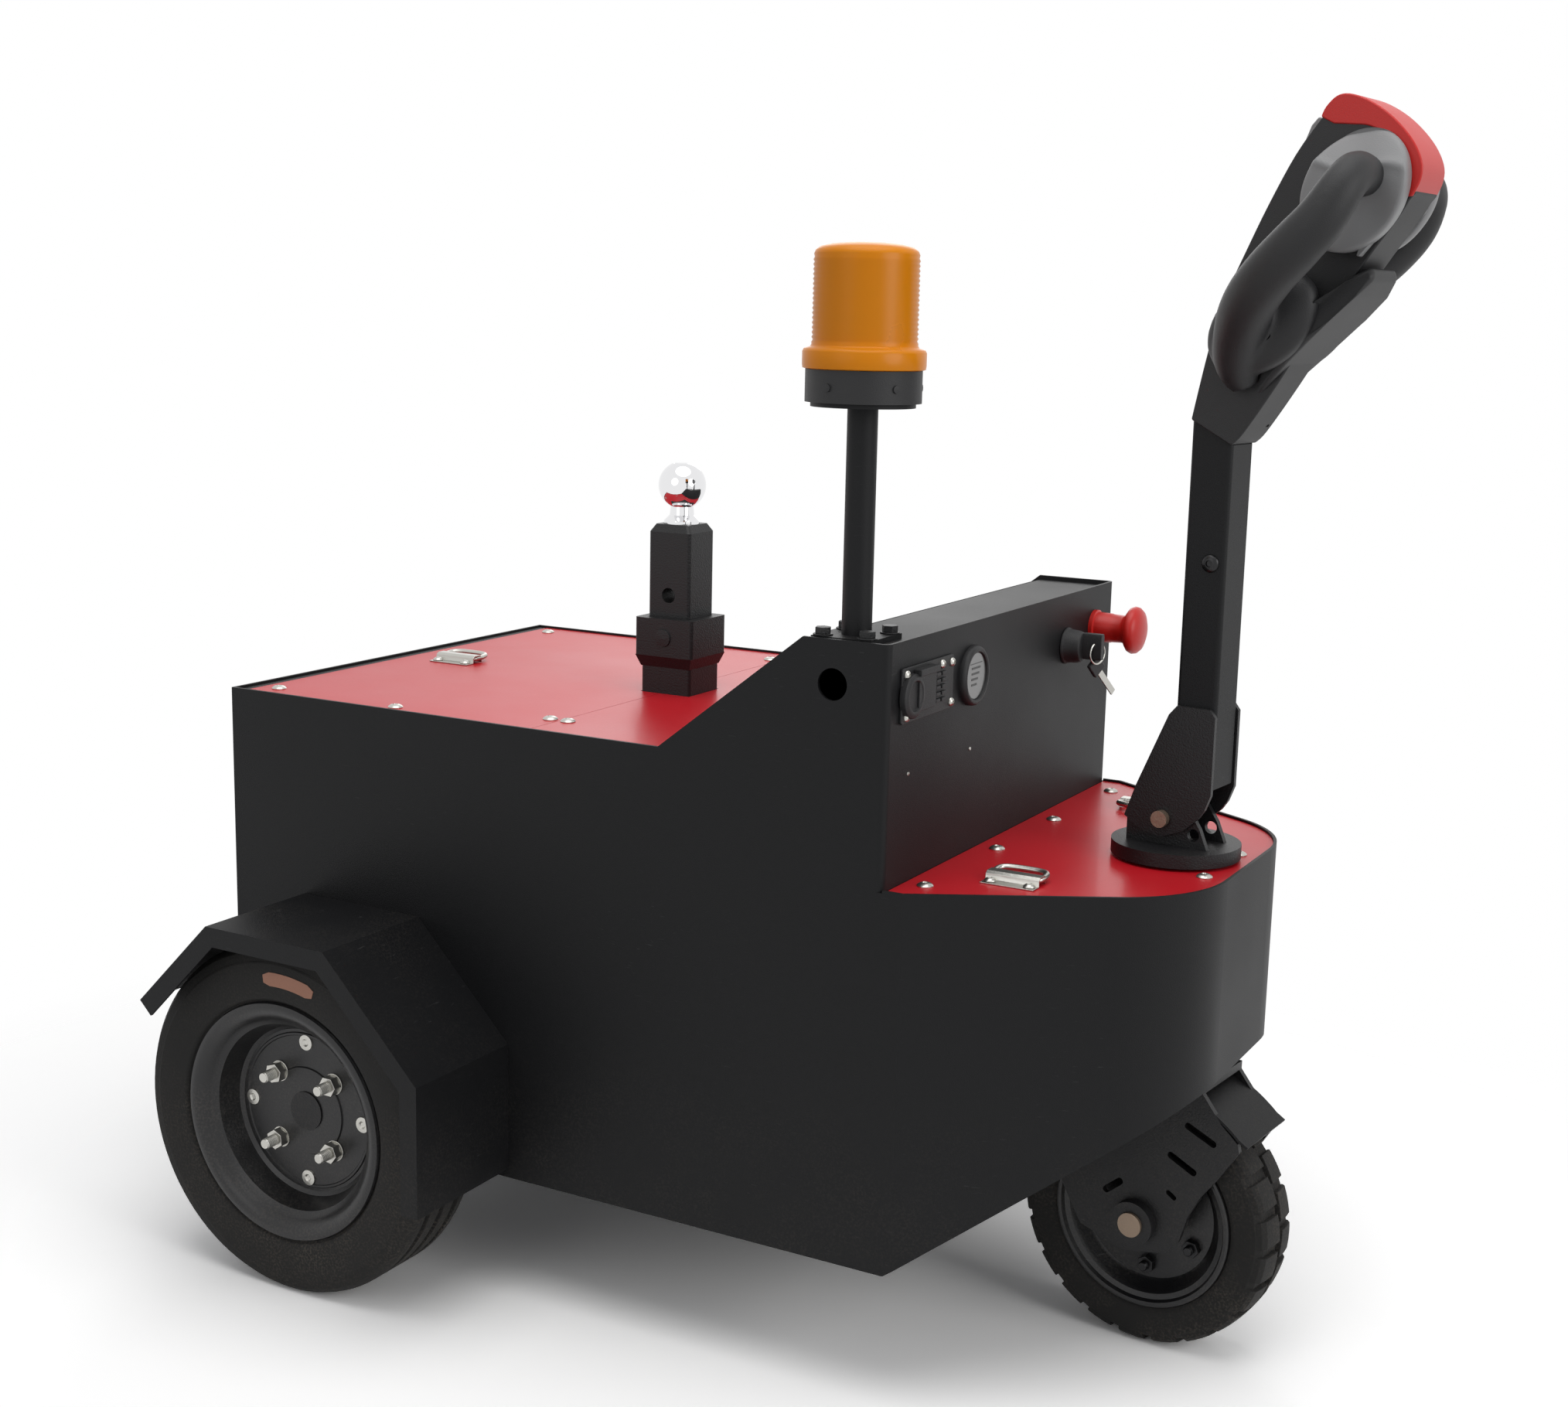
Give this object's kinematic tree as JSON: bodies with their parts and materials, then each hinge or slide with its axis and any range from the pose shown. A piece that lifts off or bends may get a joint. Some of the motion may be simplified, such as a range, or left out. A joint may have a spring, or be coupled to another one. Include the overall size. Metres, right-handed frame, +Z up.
{
  "type": "walk-behind electric tow tractor",
  "caption": "Compact three-wheeled electric tow tractor steered on foot by a tiller, with a tow ball on an upright bar, a beacon and red deck panels.",
  "frame": {"origin": "on the floor, on the centre line, midway along the overall length", "axes": "+X towards the tiller end, +Y to the left side, +Z up"},
  "size_m": [1.1579, 0.832, 1.177],
  "materials": {
    "body_black": "satin powder coat",
    "panel_red": "gloss paint",
    "frame_steel": "satin paint",
    "rubber_black": "matte",
    "rim_black": "semi-gloss paint",
    "zinc_steel": "zinc plated",
    "axle_bronze": "worn",
    "chrome": "polished",
    "amber_lens": "clear amber",
    "black_plastic": "fine grain",
    "red_plastic": "satin",
    "grey_plastic": "satin",
    "battery_case": "matte"
  },
  "bodies": {
    "chassis": {"side_panel_left": "body_black", "side_panel_right": "body_black", "rear_panel": "body_black", "nose_shell": "body_black", "dash_face": "body_black", "dash_top": "body_black", "dash_slope": "body_black", "rear_deck_panel": "panel_red", "middle_deck_panel": "panel_red", "front_deck_panel": "panel_red", "floor_pan": "frame_steel", "steering_plate": "frame_steel", "battery_block": "battery_case", "drive_axle": "frame_steel", "wheel_guard_left": "body_black", "wheel_guard_right": "body_black", "hitch_beam": "frame_steel", "hitch_socket": "frame_steel", "hitch_bar": "frame_steel", "tow_ball": "chrome", "beacon_pole": "body_black", "beacon_base": "black_plastic", "beacon_lens": "amber_lens", "charge_socket": "black_plastic", "battery_gauge": "black_plastic", "key_switch": "black_plastic", "emergency_button": "red_plastic", "deck_handles": "zinc_steel"},
    "rear_wheel_left": {"rear_tyre_left": "rubber_black", "rear_rim_left": "rim_black", "rear_hub_left": "frame_steel"},
    "rear_wheel_right": {"rear_tyre_right": "rubber_black", "rear_rim_right": "rim_black", "rear_hub_right": "frame_steel"},
    "steering": {"steering_shaft": "frame_steel", "fork": "frame_steel", "front_mudguard": "body_black", "front_axle": "axle_bronze", "tiller_base": "frame_steel", "pivot_pin": "zinc_steel"},
    "front_wheel": {"front_tyre": "rubber_black", "front_rim": "rim_black"},
    "tiller": {"tiller_bracket": "frame_steel", "tiller_arm": "body_black", "tiller_head": "black_plastic", "stop_pad": "red_plastic", "throttle_left": "grey_plastic", "throttle_right": "grey_plastic", "grip_loop_left": "black_plastic", "grip_loop_right": "black_plastic"}
  },
  "joints": [
    {"name": "rear_wheel_left_spin", "type": "hinge", "parent": "chassis", "child": "rear_wheel_left", "pos_m": [-0.399, 0, 0.18], "axis": [0, 1, 0], "continuous": true},
    {"name": "rear_wheel_right_spin", "type": "hinge", "parent": "chassis", "child": "rear_wheel_right", "pos_m": [-0.399, 0, 0.18], "axis": [0, 1, 0], "continuous": true},
    {"name": "steering_turn", "type": "hinge", "parent": "chassis", "child": "steering", "pos_m": [0.378, 0, 0.487], "axis": [0, 0, 1], "range_deg": [-84, 96]},
    {"name": "front_wheel_spin", "type": "hinge", "parent": "steering", "child": "front_wheel", "pos_m": [0.378, 0, 0.13], "axis": [0.1045, 0.9945, 0], "continuous": true},
    {"name": "tiller_tilt", "type": "hinge", "parent": "steering", "child": "tiller", "pos_m": [0.375, 0.0003, 0.526], "axis": [0.1045, 0.9945, 0], "range_deg": [0, 45], "stiffness_Nm_per_rad": 40, "springref_deg": -17.19}
  ]
}
